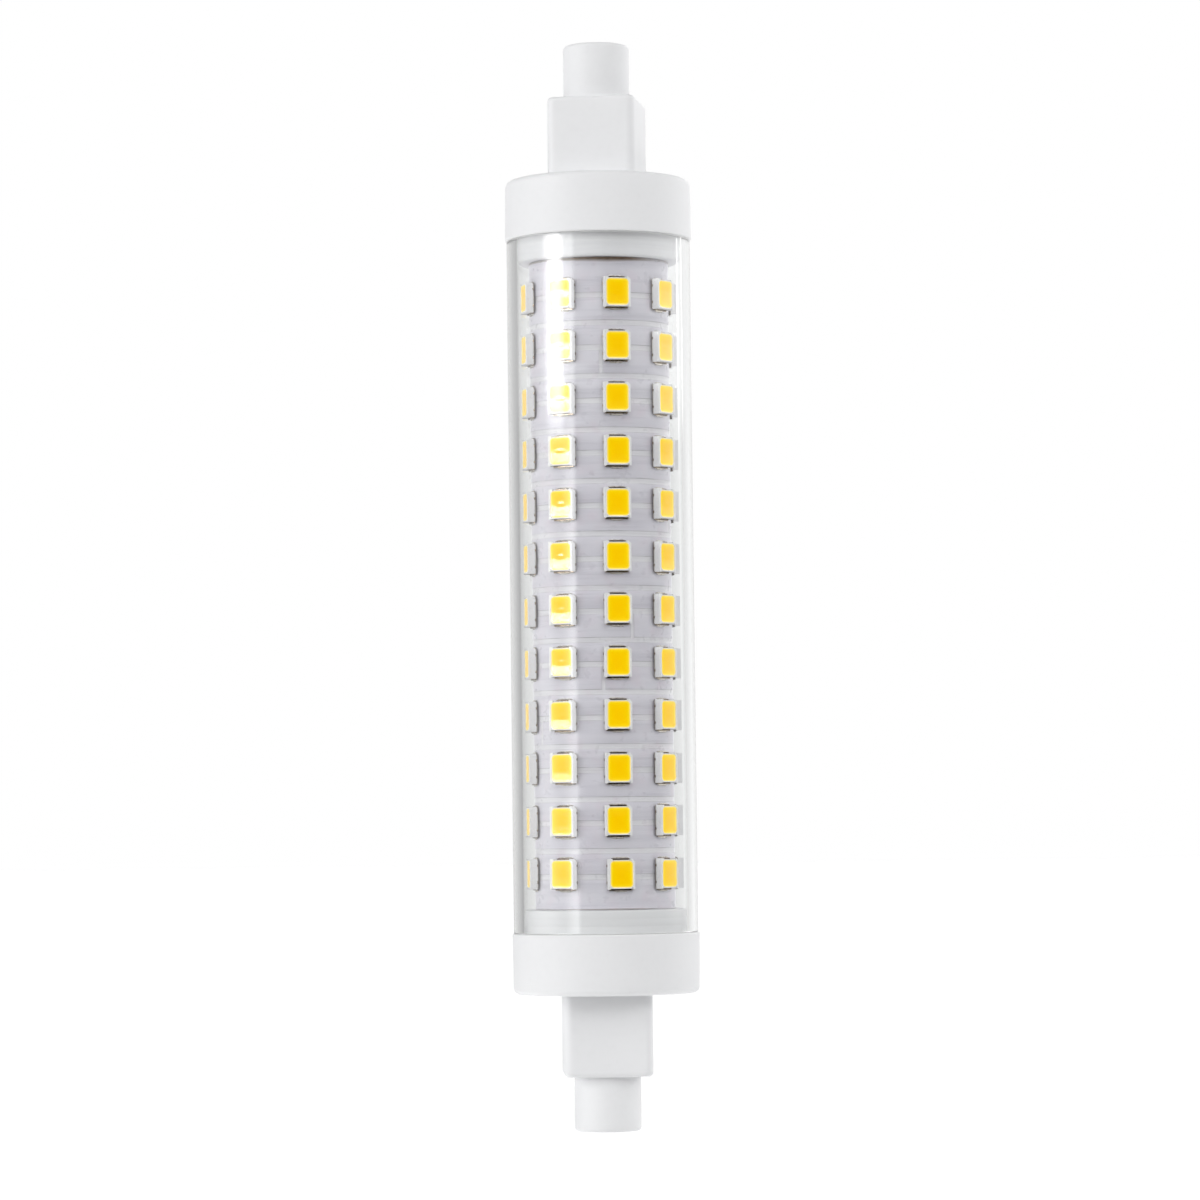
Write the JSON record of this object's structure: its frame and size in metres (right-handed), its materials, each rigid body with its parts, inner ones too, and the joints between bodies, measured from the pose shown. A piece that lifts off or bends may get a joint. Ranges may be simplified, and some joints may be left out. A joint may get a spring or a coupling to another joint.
{
  "type": "linear led bulb",
  "caption": "Double-ended linear LED lamp: clear tube around a rolled board of LEDs, with a white ceramic cap, square neck and recessed contact at each end.",
  "frame": {"origin": "middle of the lamp on its axis, halfway between the two contact faces", "axes": "+Z along the lamp's axis towards the upper cap, -Y towards the side that faces the camera"},
  "size_m": [0.0202, 0.0202, 0.118],
  "materials": {
    "clear_glass": "clear polished",
    "white_ceramic": "fine matt, unglazed",
    "plated_contact": "nickel plated",
    "board_mask": "pale solder mask, satin",
    "core_aluminium": "plain drawn",
    "led_white": "satin",
    "led_phosphor": "glossy silicone",
    "tinned_metal": "tinned",
    "solder": "reflowed",
    "insulating_film": "film",
    "driver_laminate": "solder mask",
    "black_epoxy": "moulded",
    "capacitor_jacket": "shrunk jacket",
    "film_capacitor_coat": "dipped",
    "resistor_coat": "dipped",
    "ferrite": "sintered",
    "copper": "enamelled wire",
    "wire_jacket": "silicone jacket"
  },
  "bodies": {
    "root": {"clear_tube": "clear_glass", "upper_end_cap": "white_ceramic", "lower_end_cap": "white_ceramic", "upper_contact": "plated_contact", "lower_contact": "plated_contact", "led_board": "board_mask", "board_core": "core_aluminium", "led_housings": "led_white", "led_phosphors": "led_phosphor", "led_terminals": "tinned_metal", "led_solder": "solder", "driver_sleeve": "insulating_film", "driver_board": "driver_laminate", "bridge_rectifier": "black_epoxy", "driver_ic": "black_epoxy", "chip_resistors": "black_epoxy", "input_capacitor": "capacitor_jacket", "output_capacitor": "capacitor_jacket", "film_capacitor": "film_capacitor_coat", "fuse_resistor": "resistor_coat", "inductor_core": "ferrite", "inductor_winding": "copper", "upper_lead_wire": "wire_jacket", "lower_lead_wire": "wire_jacket", "led_feed_wires": "wire_jacket", "feed_solder_joints": "solder", "driver_solder_joints": "solder"}
  },
  "joints": []
}
